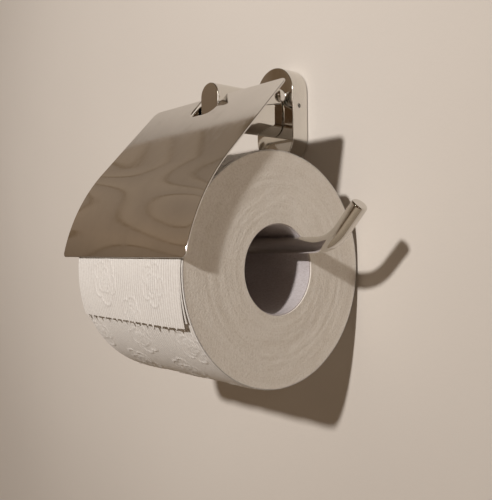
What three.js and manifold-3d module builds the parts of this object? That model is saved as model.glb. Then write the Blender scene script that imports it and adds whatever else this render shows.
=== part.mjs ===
// Wall-mounted toilet paper holder: one central wall plate, a straight post, a bent roll arm,
// a hinged curved lid and a full roll of paper hanging on the arm.
// Millimetres. X runs to the right along the wall, Y runs into the wall and Z runs up.
// The origin is on the wall, at the centre of the wall plate's back.

import * as THREE from 'three';
import { mergeVertices } from 'three/addons/utils/BufferGeometryUtils.js';
import Module from 'manifold-3d';

const wasm = await Module();
wasm.setup();

// ---------------------------------------------------------------- driving dimensions

const GAP = 0.3;                       // clearance left between touching parts

const PLATE_WIDTH = 30;                // wall plate, an upright oblong shell
const PLATE_HEIGHT = 55.5;
const PLATE_DEPTH = 12.2;
const PLATE_WALL = 1.6;

const POST_WIDTH = 14.8;               // post, an oblong bar standing out from the plate
const POST_HEIGHT = 24.8;
const POST_FRONT = -60.3;
const POST_BACK = -PLATE_DEPTH - GAP;
const POST_SCREW_DEPTH = 12;

const BRACKET_WIDTH = 22;              // steel bracket on the wall, inside the plate
const BRACKET_HEIGHT = 42;
const BRACKET_STEEL = 2.5;
const FLANGE_DEPTH = 9.5;
const FLANGE_HEIGHT = 14;

const WALL_SCREW_SPACING = 27;
const WALL_SCREW_LENGTH = 34;
const PLUG_LENGTH = 30;
const PLUG_RECESS_RADIUS = 5.1;         // the bracket's back is recessed clear of the plug's collar

const ROD_RADIUS = 4;                  // roll arm, an 8 mm rod bent in one plane
const ROD_BORE_RADIUS = 4.3;
const ARM_Y = -46.6;
const ARM_TOP_Z = -5;
const ARM_ROOT_X = 3;
const ARM_LEG_X = -50;
const ARM_LOW_Z = -75.2;
const ARM_BEND_RADIUS = 10;
const TIP_START_X = 64;
const TIP_BEND_RADIUS = 22;
const TIP_ANGLE = THREE.MathUtils.degToRad(47);
const TIP_STRAIGHT = 15.3;

const HINGE_Y = -17;                    // hinge pin that the lid turns on
const HINGE_Z = 9.2;
const PIN_RADIUS = 2;
const PIN_BORE_RADIUS = 2.3;
const PIN_HEAD_RADIUS = 3.4;
const EAR_RADIUS = 4;
const EAR_INNER_X = 8.8;
const EAR_OUTER_X = 10.3;
const EAR_KNEE_Y = -50;
const EAR_KNEE_Z = -1;

const LID_WIDTH = 111;                 // lid, a curved sheet over the roll
const LID_SHEET = 0.8;
const LID_REAR_Y = -56.65;
const LID_REAR_Z = 5.2;
const LID_REAR_SLOPE = THREE.MathUtils.degToRad(46.2);
const LID_STRAIGHT = 53.7;
const LID_CURVE_RADIUS = 96.5;
const LID_CURVE_ANGLE = THREE.MathUtils.degToRad(31.5);
const LID_LENGTH = LID_STRAIGHT + LID_CURVE_RADIUS * LID_CURVE_ANGLE;
const LID_REAR_CORNER = 4;
const LID_FRONT_CORNER = 2.5;
const NOTCH_HALF_WIDTH = 10.7;
const NOTCH_DEPTH = 15.5;
const NOTCH_CORNER = 6;

const ROLL_X = 4.5;                    // roll of paper, its core hanging on the arm
const ROLL_Y = -58.7;
const ROLL_Z = -86.8;
const ROLL_RADIUS = 58;
const ROLL_WIDTH = 92;
const PAPER_INNER_RADIUS = 23;
const CORE_RADIUS = 22.7;
const CORE_BORE_RADIUS = 21.5;
const CORE_WIDTH = 92;

const SHEET_THICKNESS = 0.3;           // loose end of the paper, hanging at the front
const SHEET_WIDTH = 91;
const SHEET_TOP_ANGLE = THREE.MathUtils.degToRad(62);
const SHEET_END_ANGLE = THREE.MathUtils.degToRad(-23);
const SHEET_TOP_CLEARANCE = 0.25;
const SHEET_END_CLEARANCE = 2.2;

// ---------------------------------------------------------------- materials

const finish = (color, roughness, metalness) =>
  new THREE.MeshStandardMaterial({ color, roughness, metalness });

const chrome = finish(0xc9c6c1, 0.06, 1.0);
const zincSteel = finish(0xa8a9a6, 0.4, 1.0);
const nylon = finish(0x9a9b98, 0.6, 0.0);
const whiteNylon = finish(0xe6e4de, 0.5, 0.0);
const board = finish(0xc8b9a6, 0.9, 0.0);
const paper = finish(0xf0ece3, 0.95, 0.0);

// ---------------------------------------------------------------- solids, joined and cut

function toSolid(geometry) {
  const bare = geometry.index ? geometry.clone() : geometry;
  bare.deleteAttribute('normal');
  bare.deleteAttribute('uv');
  const merged = mergeVertices(bare, 1e-4);
  return new wasm.Manifold(new wasm.Mesh({
    numProp: 3,
    vertProperties: new Float32Array(merged.attributes.position.array),
    triVerts: new Uint32Array(merged.index.array),
  }));
}

function toGeometry(solid) {
  const mesh = solid.getMesh();
  const geometry = new THREE.BufferGeometry();
  geometry.setAttribute('position', new THREE.BufferAttribute(mesh.vertProperties, 3));
  geometry.setIndex(new THREE.BufferAttribute(mesh.triVerts, 1));
  geometry.computeVertexNormals();
  return geometry;
}

const cut = (body, ...tools) => toGeometry(
  tools.reduce((solid, tool) => solid.subtract(toSolid(tool)), toSolid(body)));

const join = (body, ...others) => toGeometry(
  others.reduce((solid, other) => solid.add(toSolid(other)), toSolid(body)));

// ---------------------------------------------------------------- basic shapes

// Upright oblong with round top and bottom, drawn in X and Z.
function oblongShape(width, height) {
  const radius = width / 2;
  const rise = height / 2 - radius;
  const shape = new THREE.Shape();
  shape.absarc(0, rise, radius, 0, Math.PI, false);
  shape.absarc(0, -rise, radius, Math.PI, 2 * Math.PI, false);
  shape.closePath();
  return shape;
}

// Extrudes a shape drawn in X and Z along Y, from yBack towards the room to yFront.
function extrudeToRoom(shape, yBack, yFront, edge = 0, curveSegments = 14) {
  const geometry = new THREE.ExtrudeGeometry(shape, {
    depth: yBack - yFront - 2 * edge,
    bevelEnabled: edge > 0,
    bevelThickness: edge,
    bevelSize: edge,
    bevelOffset: -edge,
    bevelSegments: 3,
    curveSegments,
  });
  return geometry.rotateX(Math.PI / 2).translate(0, yBack - edge, 0);
}

// Extrudes an outline drawn in Y and Z along X.
function extrudeAcross(shape, xLeft, xRight, curveSegments = 10) {
  const geometry = new THREE.ExtrudeGeometry(shape, {
    depth: xRight - xLeft,
    bevelEnabled: false,
    curveSegments,
  });
  const yzToX = new THREE.Matrix4().makeBasis(
    new THREE.Vector3(0, 1, 0), new THREE.Vector3(0, 0, 1), new THREE.Vector3(1, 0, 0));
  return geometry.applyMatrix4(yzToX).translate(xLeft, 0, 0);
}

// Turned solid about its own Y axis; profile points are [radius, height] and start and end
// on the axis, or close on themselves where the piece has a bore.
function turned(profile, segments) {
  return new THREE.LatheGeometry(profile.map(([r, h]) => new THREE.Vector2(r, h)), segments);
}

const alongX = (geometry, x, y, z) => geometry.rotateZ(-Math.PI / 2).translate(x, y, z);
const alongY = (geometry, x, y, z) => geometry.translate(x, y, z);
const alongZ = (geometry, x, y, z) => geometry.rotateX(Math.PI / 2).translate(x, y, z);

const pinProfile = (radius, length) => [[0, 0], [radius, 0], [radius, length], [0, length]];

function ringProfile(outer, inner, length) {
  return [[inner, 0], [outer, 0], [outer, length], [inner, length], [inner, 0]];
}

// ---------------------------------------------------------------- wall fixing

function wallBracket() {
  const x = BRACKET_WIDTH / 2;
  const base = extrudeToRoom(oblongShape(BRACKET_WIDTH, BRACKET_HEIGHT), 0, -BRACKET_STEEL);
  const flanges = [-1, 1].map((side) => {
    const flange = new THREE.BoxGeometry(2, FLANGE_DEPTH, FLANGE_HEIGHT);
    return flange.translate(side * (x - 1), -FLANGE_DEPTH / 2, 0);
  });
  const holes = [-1, 1].map((side) => {
    const sunkHole = turned([
      [0, -6], [4.6, -6], [4.6, -2.5], [2.6, -0.9], [2.6, -0.5], [PLUG_RECESS_RADIUS, -0.5],
      [PLUG_RECESS_RADIUS, 1], [0, 1],
    ], 28);
    return alongY(sunkHole, 0, 0, side * WALL_SCREW_SPACING / 2);
  });
  return cut(join(base, ...flanges), ...holes);
}

function wallScrew(z) {
  const driveRadius = 1.6;
  const body = turned([
    [0, -2.3], [4.0, -2.3], [2.1, -0.5], [2.1, WALL_SCREW_LENGTH - 5],
    [0.5, WALL_SCREW_LENGTH - 2], [0, WALL_SCREW_LENGTH - 2],
  ], 24);
  const drive = turned([[0, -3], [driveRadius, -3], [driveRadius, -1], [0, -1]], 6);
  return alongY(cut(body, drive), 0, 0, z);
}

function wallPlug(z) {
  const plug = turned([
    [2.5, 0.4], [4.8, 0.4], [4.8, 1.2], [4, 1.4], [4, 8], [3.7, 9], [4, 10], [3.7, 11], [4, 12],
    [3.7, 13], [4, 14], [3.4, PLUG_LENGTH], [2.5, PLUG_LENGTH], [2.5, 0.4],
  ], 24);
  return alongY(plug, 0, 0, z);
}

// ---------------------------------------------------------------- plate and post

const GRUB_Y = -7;
const GRUB_Z = 4.4;

function wallPlate() {
  const outer = extrudeToRoom(oblongShape(PLATE_WIDTH, PLATE_HEIGHT), 0, -PLATE_DEPTH, 0.5, 20);
  const hollow = oblongShape(PLATE_WIDTH - 2 * PLATE_WALL, PLATE_HEIGHT - 2 * PLATE_WALL);
  const inner = extrudeToRoom(hollow, 1, -PLATE_DEPTH + PLATE_WALL, 0, 20);
  const screwHole = alongY(turned(pinProfile(3.3, 4), 20), 0, -PLATE_DEPTH - 1, 0);
  const grubHole = alongX(turned(pinProfile(1.4, 4), 16), 12.4, GRUB_Y, GRUB_Z);
  return cut(outer, inner, screwHole, grubHole);
}

function post() {
  const bar = extrudeToRoom(oblongShape(POST_WIDTH, POST_HEIGHT), POST_BACK, POST_FRONT, 0.7, 16);
  const rodBore = alongX(turned(pinProfile(ROD_BORE_RADIUS, 12), 28), -8.6, ARM_Y, ARM_TOP_Z);
  const pinBore = alongX(turned(pinProfile(PIN_BORE_RADIUS, 20), 20), -10, HINGE_Y, HINGE_Z);
  const grubBore = alongZ(turned(pinProfile(2.2, 6), 16), 0, ARM_Y, -13);
  const screwBore = alongY(turned(pinProfile(3.3, POST_SCREW_DEPTH + 0.5), 20), 0,
    POST_BACK - POST_SCREW_DEPTH, 0);
  return cut(bar, rodBore, pinBore, grubBore, screwBore);
}

function postScrew() {
  const tip = POST_BACK - POST_SCREW_DEPTH + GAP;
  const under = -PLATE_DEPTH + PLATE_WALL + GAP + 1 + GAP;
  const body = turned([
    [0, tip], [2.7, tip], [3, tip + 0.3], [3, under], [5, under], [5, under + 2], [3.6, under + 3.2],
    [0, under + 3.2],
  ], 24);
  const socket = turned([[0, under + 1], [2.2, under + 1], [2.2, 0], [0, 0]], 6);
  return cut(body, socket);
}

function postWasher() {
  return alongY(turned(ringProfile(6, 3.3, 1), 28), 0, -PLATE_DEPTH + PLATE_WALL + GAP, 0);
}

// Headless socket screw, pointing along its own Y.
function grubScrew(radius, length) {
  const drive = radius * 0.58;
  const body = turned([
    [0, 0], [radius - 0.4, 0], [radius, 0.4], [radius, length - 0.3], [radius - 0.3, length],
    [0, length],
  ], 16);
  const socket = turned([[0, length * 0.4], [drive, length * 0.4], [drive, length + 1],
    [0, length + 1]], 6);
  return cut(body, socket);
}

// ---------------------------------------------------------------- roll arm

// Circular arc in the plane of the arm, as a curve of X and Z at ARM_Y.
class ArmArc extends THREE.Curve {
  constructor(centreX, centreZ, radius, from, to) {
    super();
    Object.assign(this, { centreX, centreZ, radius, from, to });
  }

  getPoint(t, target = new THREE.Vector3()) {
    const angle = this.from + (this.to - this.from) * t;
    return target.set(this.centreX + this.radius * Math.cos(angle), ARM_Y,
      this.centreZ + this.radius * Math.sin(angle));
  }
}

function armPath() {
  const at = (x, z) => new THREE.Vector3(x, ARM_Y, z);
  const r = ARM_BEND_RADIUS;
  const lean = TIP_ANGLE;
  const tipX = TIP_START_X + TIP_BEND_RADIUS * Math.sin(lean);
  const tipZ = ARM_LOW_Z + TIP_BEND_RADIUS * (1 - Math.cos(lean));
  const path = new THREE.CurvePath();
  path.add(new THREE.LineCurve3(at(ARM_ROOT_X, ARM_TOP_Z), at(ARM_LEG_X + r, ARM_TOP_Z)));
  path.add(new ArmArc(ARM_LEG_X + r, ARM_TOP_Z - r, r, Math.PI / 2, Math.PI));
  path.add(new THREE.LineCurve3(at(ARM_LEG_X, ARM_TOP_Z - r), at(ARM_LEG_X, ARM_LOW_Z + r)));
  path.add(new ArmArc(ARM_LEG_X + r, ARM_LOW_Z + r, r, Math.PI, 1.5 * Math.PI));
  path.add(new THREE.LineCurve3(at(ARM_LEG_X + r, ARM_LOW_Z), at(TIP_START_X, ARM_LOW_Z)));
  path.add(new ArmArc(TIP_START_X, ARM_LOW_Z + TIP_BEND_RADIUS, TIP_BEND_RADIUS,
    1.5 * Math.PI, 1.5 * Math.PI + lean));
  path.add(new THREE.LineCurve3(at(tipX, tipZ), at(tipX + TIP_STRAIGHT * Math.cos(lean),
    tipZ + TIP_STRAIGHT * Math.sin(lean))));
  return path;
}

function rollArm() {
  const section = new THREE.Shape();
  section.absarc(0, 0, ROD_RADIUS, 0, 2 * Math.PI, false);
  return new THREE.ExtrudeGeometry(section, {
    steps: 88,
    extrudePath: armPath(),
    curveSegments: 9,
  });
}

// ---------------------------------------------------------------- lid

// Place on the lid's outer face, s millimetres from the rear edge and `under` below the face.
function lidPoint(s, under = 0) {
  const turn = Math.max(0, s - LID_STRAIGHT) / LID_CURVE_RADIUS;
  const flat = Math.min(s, LID_STRAIGHT);
  const slope = LID_REAR_SLOPE + turn;
  const dy = Math.sin(slope) - Math.sin(LID_REAR_SLOPE);
  const dz = Math.cos(LID_REAR_SLOPE) - Math.cos(slope);
  const y = LID_REAR_Y - flat * Math.cos(LID_REAR_SLOPE) - LID_CURVE_RADIUS * dy;
  const z = LID_REAR_Z - flat * Math.sin(LID_REAR_SLOPE) - LID_CURVE_RADIUS * dz;
  return { y: y + under * Math.sin(slope), z: z - under * Math.cos(slope), slope };
}

// Outline in Y and Z of a sheet that follows the lid from s0 to s1, between two depths.
function lidStrip(s0, s1, outer, inner) {
  const count = 16;
  const stations = Array.from({ length: count + 1 }, (_, i) => s0 + (s1 - s0) * i / count);
  const top = stations.map((s) => lidPoint(s, outer));
  const bottom = stations.map((s) => lidPoint(s, inner)).reverse();
  return new THREE.Shape([...top, ...bottom].map(({ y, z }) => new THREE.Vector2(y, z)));
}

// Cutter drawn flat on the lid: u across from the middle, v along from the rear edge.
function lidCutter(shape, s) {
  const { y, z, slope } = lidPoint(s);
  const geometry = new THREE.ExtrudeGeometry(shape, {
    depth: 10,
    bevelEnabled: false,
    curveSegments: 8,
  });
  const across = new THREE.Vector3(1, 0, 0);
  const along = new THREE.Vector3(0, -Math.cos(slope), -Math.sin(slope));
  const frame = new THREE.Matrix4().makeBasis(across, along, across.clone().cross(along));
  return geometry.translate(0, 0, -5).applyMatrix4(frame).translate(0, y, z);
}

// Square corner less its rounding; side is -1 or 1 across, end is 1 at the rear, -1 in front.
function cornerShape(side, end, radius) {
  const x = LID_WIDTH / 2;
  const shape = new THREE.Shape();
  const put = (u, v) => new THREE.Vector2(side * (x - u), end * v);
  const points = [put(-2, -2), put(radius, -2)];
  const steps = 8;
  for (let i = 0; i <= steps; i += 1) {
    const angle = i / steps * Math.PI / 2;
    points.push(put(radius - radius * Math.sin(angle), radius - radius * Math.cos(angle)));
  }
  points.push(put(-2, radius));
  if (side * end > 0) points.reverse();
  return shape.setFromPoints(points);
}

function notchShape() {
  const w = NOTCH_HALF_WIDTH;
  const r = NOTCH_CORNER;
  const shape = new THREE.Shape();
  shape.moveTo(-w, -2);
  shape.lineTo(w, -2);
  shape.lineTo(w, NOTCH_DEPTH - r);
  shape.absarc(w - r, NOTCH_DEPTH - r, r, 0, Math.PI / 2, false);
  shape.lineTo(-w + r, NOTCH_DEPTH);
  shape.absarc(-w + r, NOTCH_DEPTH - r, r, Math.PI / 2, Math.PI, false);
  return shape;
}

function lid() {
  const x = LID_WIDTH / 2;
  const sheet = extrudeAcross(lidStrip(0, LID_LENGTH, 0, LID_SHEET), -x, x);
  const cutters = [lidCutter(notchShape(), 0)];
  for (const side of [-1, 1]) {
    cutters.push(lidCutter(cornerShape(side, 1, LID_REAR_CORNER), 0));
    cutters.push(lidCutter(cornerShape(side, -1, LID_FRONT_CORNER), LID_LENGTH));
  }
  return cut(sheet, ...cutters);
}

// Folded bracket under the lid: a base behind the notch and two ears back to the hinge pin.
function lidBracket() {
  const outer = LID_SHEET + GAP;
  const inner = outer + 1.5;
  const base = extrudeAcross(lidStrip(17, 36, outer, inner), -EAR_OUTER_X, EAR_OUTER_X);
  const ear = new THREE.Shape();
  const low = lidPoint(36, outer + 2.6);
  const front = lidPoint(36, outer);
  const rear = lidPoint(5, outer);
  ear.moveTo(low.y, low.z);
  ear.lineTo(front.y, front.z);
  ear.lineTo(rear.y, rear.z);
  ear.quadraticCurveTo(rear.y + 2.6, rear.z + 2.2, rear.y + 7, rear.z + 3);
  ear.lineTo(HINGE_Y - 1, HINGE_Z + EAR_RADIUS - 0.1);
  ear.absarc(HINGE_Y, HINGE_Z, EAR_RADIUS, 1.8, -Math.PI / 2, true);
  ear.lineTo(EAR_KNEE_Y, EAR_KNEE_Z);
  ear.closePath();
  const ears = [-1, 1].map((side) => {
    const left = Math.min(side * EAR_INNER_X, side * EAR_OUTER_X);
    return extrudeAcross(ear, left, left + EAR_OUTER_X - EAR_INNER_X, 14);
  });
  const pinHole = alongX(turned(pinProfile(PIN_BORE_RADIUS, 24), 20), -12, HINGE_Y, HINGE_Z);
  return cut(join(base, ...ears), pinHole);
}

// ---------------------------------------------------------------- hinge

const HEAD_INNER_X = EAR_OUTER_X + GAP;

function hingePin() {
  const h = HEAD_INNER_X;
  const profile = [
    [0, -h - 0.6], [PIN_RADIUS, -h - 0.6], [PIN_RADIUS, h], [PIN_HEAD_RADIUS, h],
    [PIN_HEAD_RADIUS, h + 1], [2.4, h + 1.9], [0, h + 2.2],
  ];
  return alongX(turned(profile, 24), 0, HINGE_Y, HINGE_Z);
}

// Cap pressed on the pin's left end.
function hingeCap() {
  const h = HEAD_INNER_X;
  const cap = [
    [0, -h - 2.2], [2.4, -h - 1.9], [PIN_HEAD_RADIUS, -h - 1], [PIN_HEAD_RADIUS, -h],
    [PIN_RADIUS + GAP, -h], [PIN_RADIUS + GAP, -h - 0.9], [0, -h - 0.9],
  ];
  return alongX(turned(cap, 24), 0, HINGE_Y, HINGE_Z);
}

function hingeWasher(xLeft) {
  const washer = turned(ringProfile(4.1, PIN_BORE_RADIUS, 0.7), 24);
  return alongX(washer, xLeft, HINGE_Y, HINGE_Z);
}

// ---------------------------------------------------------------- roll

function rollCore() {
  const tube = turned(ringProfile(CORE_RADIUS, CORE_BORE_RADIUS, CORE_WIDTH), 48);
  return alongX(tube, ROLL_X - CORE_WIDTH / 2, ROLL_Y, ROLL_Z);
}

function paperRoll() {
  const tube = turned(ringProfile(ROLL_RADIUS, PAPER_INNER_RADIUS, ROLL_WIDTH), 72);
  return alongX(tube, ROLL_X - ROLL_WIDTH / 2, ROLL_Y, ROLL_Z);
}

// Loose end: it leaves the roll under the lid and stands a little way off at the torn edge.
function looseSheet() {
  const count = 26;
  const inside = [];
  const outside = [];
  for (let i = 0; i <= count; i += 1) {
    const angle = SHEET_TOP_ANGLE + (SHEET_END_ANGLE - SHEET_TOP_ANGLE) * i / count;
    const drop = Math.max(0, -angle / -SHEET_END_ANGLE);
    const lift = SHEET_TOP_CLEARANCE + (SHEET_END_CLEARANCE - SHEET_TOP_CLEARANCE) * drop ** 2;
    const radius = ROLL_RADIUS + lift;
    const place = (r) => new THREE.Vector2(
      ROLL_Y - r * Math.cos(angle), ROLL_Z + r * Math.sin(angle));
    inside.push(place(radius));
    outside.push(place(radius + SHEET_THICKNESS));
  }
  return extrudeAcross(new THREE.Shape([...inside, ...outside.reverse()]),
    ROLL_X - SHEET_WIDTH / 2, ROLL_X + SHEET_WIDTH / 2);
}

// ---------------------------------------------------------------- assembly

const holder = new THREE.Group();

function add(name, geometry, material) {
  const mesh = new THREE.Mesh(geometry, material);
  mesh.name = name;
  holder.add(mesh);
  return mesh;
}

add('wall_bracket', wallBracket(), zincSteel);
for (const [name, side] of [['upper', 1], ['lower', -1]]) {
  add(`wall_screw_${name}`, wallScrew(side * WALL_SCREW_SPACING / 2), zincSteel);
  add(`wall_plug_${name}`, wallPlug(side * WALL_SCREW_SPACING / 2), nylon);
}
add('wall_plate', wallPlate(), chrome);
const plateGrub = add('plate_grub_screw', grubScrew(1.1, 3.4), zincSteel);
plateGrub.position.set(BRACKET_WIDTH / 2 + GAP, GRUB_Y, GRUB_Z);
plateGrub.rotation.z = -Math.PI / 2;
add('post', post(), chrome);
add('post_screw', postScrew(), zincSteel);
add('post_washer', postWasher(), zincSteel);
add('roll_arm', rollArm(), chrome);
const armGrub = add('arm_grub_screw', grubScrew(1.9, 2.6), zincSteel);
armGrub.position.set(0, ARM_Y, ARM_TOP_Z - ROD_RADIUS - GAP);
armGrub.rotation.x = -Math.PI / 2;
add('lid', lid(), chrome);
add('lid_bracket', lidBracket(), chrome);
add('hinge_pin', hingePin(), chrome);
add('hinge_cap', hingeCap(), chrome);
add('hinge_washer_left', hingeWasher(-EAR_INNER_X + GAP), whiteNylon);
add('hinge_washer_right', hingeWasher(EAR_INNER_X - GAP - 0.7), whiteNylon);
add('roll_core', rollCore(), board);
add('paper_roll', paperRoll(), paper);
add('loose_sheet', looseSheet(), paper);

export default holder;
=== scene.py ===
"""Wall-mounted toilet paper holder with a hinged lid and a full roll, dressed around the CAD frame."""

import bmesh
import bpy
import math
import numpy as np
from mathutils import Matrix, Vector


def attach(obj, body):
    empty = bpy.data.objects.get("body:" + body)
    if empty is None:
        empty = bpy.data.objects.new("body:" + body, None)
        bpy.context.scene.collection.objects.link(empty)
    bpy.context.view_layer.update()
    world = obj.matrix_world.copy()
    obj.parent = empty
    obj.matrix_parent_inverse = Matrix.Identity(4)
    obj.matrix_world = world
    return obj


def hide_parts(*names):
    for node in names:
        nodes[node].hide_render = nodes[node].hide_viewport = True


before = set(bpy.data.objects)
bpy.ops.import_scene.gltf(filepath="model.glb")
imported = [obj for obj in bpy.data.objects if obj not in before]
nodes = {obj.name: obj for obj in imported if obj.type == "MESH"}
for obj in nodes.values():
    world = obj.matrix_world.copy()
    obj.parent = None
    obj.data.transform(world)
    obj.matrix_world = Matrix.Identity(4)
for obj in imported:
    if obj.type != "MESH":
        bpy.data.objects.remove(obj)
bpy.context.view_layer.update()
scene = bpy.context.scene
MM = 0.001
TAU = 2 * math.pi

# ---------------------------------------------------------------- dimensions, in mm, as in the CAD

PLATE_WIDTH, PLATE_HEIGHT, PLATE_DEPTH, PLATE_WALL = 30, 55.5, 12.2, 1.6
POST_WIDTH, POST_HEIGHT, POST_FRONT, POST_BACK = 14.8, 24.8, -60.3, -12.5
GRUB_Y, GRUB_Z = -7, 4.4

ROD_RADIUS, ROD_BORE_RADIUS = 4, 4.3
ARM_Y, ARM_TOP_Z, ARM_LOW_Z = -46.6, -5, -75.2
ARM_ROOT_X, ARM_LEG_X, ARM_BEND_RADIUS = 3, -50, 10
TIP_START_X, TIP_BEND_RADIUS, TIP_ANGLE, TIP_STRAIGHT = 64, 22, math.radians(47), 15.3

HINGE_Y, HINGE_Z = -17, 9.2
PIN_RADIUS, PIN_HOLE_RADIUS, PIN_HEAD_RADIUS = 2, 2.3, 3.4
EAR_RADIUS, EAR_INNER_X, EAR_OUTER_X, EAR_KNEE_Y, EAR_KNEE_Z = 4, 8.8, 10.3, -50, -1
HEAD_INNER_X = EAR_OUTER_X + 0.3
PIN_HOLE_REACH = 12  # half length of the cutter for the pin's holes
BRACKET_START, BRACKET_END, BRACKET_SHEET, BRACKET_GAP = 17, 36, 1.5, 0.3

LID_WIDTH, LID_SHEET = 111, 0.8
LID_REAR_Y, LID_REAR_Z, LID_REAR_SLOPE = -56.65, 5.2, math.radians(46.2)
LID_STRAIGHT, LID_CURVE_RADIUS, LID_CURVE_ANGLE = 53.7, 96.5, math.radians(31.5)
LID_LENGTH = LID_STRAIGHT + LID_CURVE_RADIUS * LID_CURVE_ANGLE
LID_REAR_CORNER, LID_FRONT_CORNER = 4, 2.5
NOTCH_HALF_WIDTH, NOTCH_DEPTH, NOTCH_CORNER = 10.7, 15.5, 6

ROLL_X, ROLL_Y, ROLL_Z = 4.5, -58.7, -86.8
ROLL_RADIUS, ROLL_WIDTH, PAPER_INNER_RADIUS = 58, 92, 22.3
CORE_RADIUS, CORE_BORE_RADIUS = 22.7, 21.5
SHEET_WIDTH, SHEET_TOP, SHEET_END = 91, 62, -23
SHEET_TOP_CLEARANCE, SHEET_END_CLEARANCE = 0.25, 2.2

# ---------------------------------------------------------------- camera

# Solved from the photograph together with the holder's outlines; places in mm.
CAMERA_PLACE, LENS, SHIFT_Y = (281.8, -283.1, -75.2), 49.02, 0.0045
YAW, PITCH, ROLL = math.radians(48.71), math.radians(-0.54), math.radians(-0.79)
forward = Vector((
    -math.sin(YAW) * math.cos(PITCH), math.cos(YAW) * math.cos(PITCH), math.sin(PITCH)))
level_right = forward.cross(Vector((0, 0, 1))).normalized()
level_up = level_right.cross(forward)
right = level_right * math.cos(ROLL) + level_up * math.sin(ROLL)
up = level_up * math.cos(ROLL) - level_right * math.sin(ROLL)

camera = bpy.data.objects.new("camera", bpy.data.cameras.new("camera"))
scene.collection.objects.link(camera)
camera.matrix_world = Matrix.Translation(Vector(CAMERA_PLACE) * MM) @ Matrix(
    (right, up, -forward)).transposed().to_4x4()
camera.data.sensor_fit = "HORIZONTAL"
camera.data.sensor_width = 36
camera.data.lens = LENS
camera.data.shift_y = SHIFT_Y
camera.data.clip_start = 0.01
camera.data.clip_end = 20
scene.camera = camera

# ---------------------------------------------------------------- node helpers


class Nodes:
    """A short way to write a material's node tree."""

    def __init__(self, name):
        self.material = bpy.data.materials.new(name)
        self.material.use_nodes = True
        self.tree = self.material.node_tree
        self.shader = self.tree.nodes["Principled BSDF"]
        self.out = self.tree.nodes["Material Output"]

    def put(self, value, socket):
        if isinstance(value, bpy.types.NodeSocket):
            self.tree.links.new(value, socket)
        else:
            socket.default_value = value

    def node(self, kind, settings=None, **inputs):
        made = self.tree.nodes.new(kind)
        for key, value in (settings or {}).items():
            setattr(made, key, value)
        for key, value in inputs.items():
            self.put(value, made.inputs[key.replace("_", " ")])
        return made

    def math(self, operation, a, b=0.0):
        made = self.tree.nodes.new("ShaderNodeMath")
        made.operation = operation
        self.put(a, made.inputs[0])
        self.put(b, made.inputs[1])
        return made.outputs[0]

    def place(self, kind="Object"):
        return self.node("ShaderNodeTexCoord").outputs[kind]

    def stretch(self, vector, x, y, z):
        return self.node("ShaderNodeMapping", Vector=vector, Scale=(x, y, z)).outputs[0]

    def noise(self, vector, scale, detail=3.0, roughness=0.5):
        made = self.node(
            "ShaderNodeTexNoise", Vector=vector, Scale=scale, Detail=detail, Roughness=roughness)
        return made.outputs["Fac"]

    def ramp(self, value, *stops):
        made = self.node("ShaderNodeValToRGB", Fac=value)
        elements = made.color_ramp.elements
        while len(elements) < len(stops):
            elements.new(0.5)
        for element, (position, colour) in zip(elements, stops):
            element.position = position
            element.color = (*colour, 1)
        return made.outputs["Color"]

    def range(self, value, low, high, to_low, to_high):
        made = self.node("ShaderNodeMapRange", Value=value, From_Min=low, From_Max=high,
                         To_Min=to_low, To_Max=to_high)
        return made.outputs["Result"]

    def bump(self, height, distance, strength=1.0, normal=None):
        made = self.node("ShaderNodeBump", Height=height, Distance=distance, Strength=strength)
        if normal is not None:
            self.put(normal, made.inputs["Normal"])
        return made.outputs["Normal"]

    def set(self, **inputs):
        for key, value in inputs.items():
            self.put(value, self.shader.inputs[key.replace("_", " ")])
        return self.material


def chrome_material(name, tint, wave, smudge):
    """Polished chrome plating with faint waves, wiping marks and a few dull smudges."""
    n = Nodes(name)
    at = n.place()
    slow = n.noise(at, 38, 2, 0.4)
    wipes = n.noise(n.stretch(at, 1, 0.16, 0.16), 900, 4, 0.6)
    patches = n.noise(at, 62, 5, 0.62)
    dull = n.range(patches, 0.56, 0.72, 0.0, smudge)
    rough = n.math("ADD", n.range(wipes, 0.3, 0.7, 0.035, 0.075), dull)
    shade = n.ramp(patches, (0.3, tint), (0.75, tuple(0.93 * c for c in tint)))
    normal = n.bump(slow, 0.0012, wave)
    normal = n.bump(wipes, 0.00001, 0.25, normal)
    return n.set(Base_Color=shade, Metallic=1.0, Roughness=rough, Normal=normal)


def steel_material():
    """Zinc-plated steel, brushed and slightly blotchy."""
    n = Nodes("zinc_steel")
    at = n.place()
    brush = n.noise(n.stretch(at, 1, 1, 0.06), 2600, 3, 0.6)
    blotch = n.noise(at, 260, 4, 0.6)
    shade = n.ramp(blotch, (0.3, (0.42, 0.41, 0.39)), (0.7, (0.58, 0.57, 0.54)))
    rough = n.range(brush, 0.3, 0.7, 0.28, 0.46)
    return n.set(Base_Color=shade, Metallic=1.0, Roughness=rough,
                 Normal=n.bump(brush, 0.00003, 0.6))


def nylon_material(name, colour):
    """Moulded nylon with a fine eggshell grain."""
    n = Nodes(name)
    at = n.place()
    grain = n.noise(at, 2600, 3, 0.6)
    cloud = n.noise(at, 180, 3, 0.5)
    darker = tuple(0.86 * c for c in colour)
    shade = n.ramp(cloud, (0.3, darker), (0.7, colour))
    return n.set(Base_Color=shade, Roughness=n.range(cloud, 0.3, 0.7, 0.42, 0.6),
                 Normal=n.bump(grain, 0.00004, 0.5))


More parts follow.
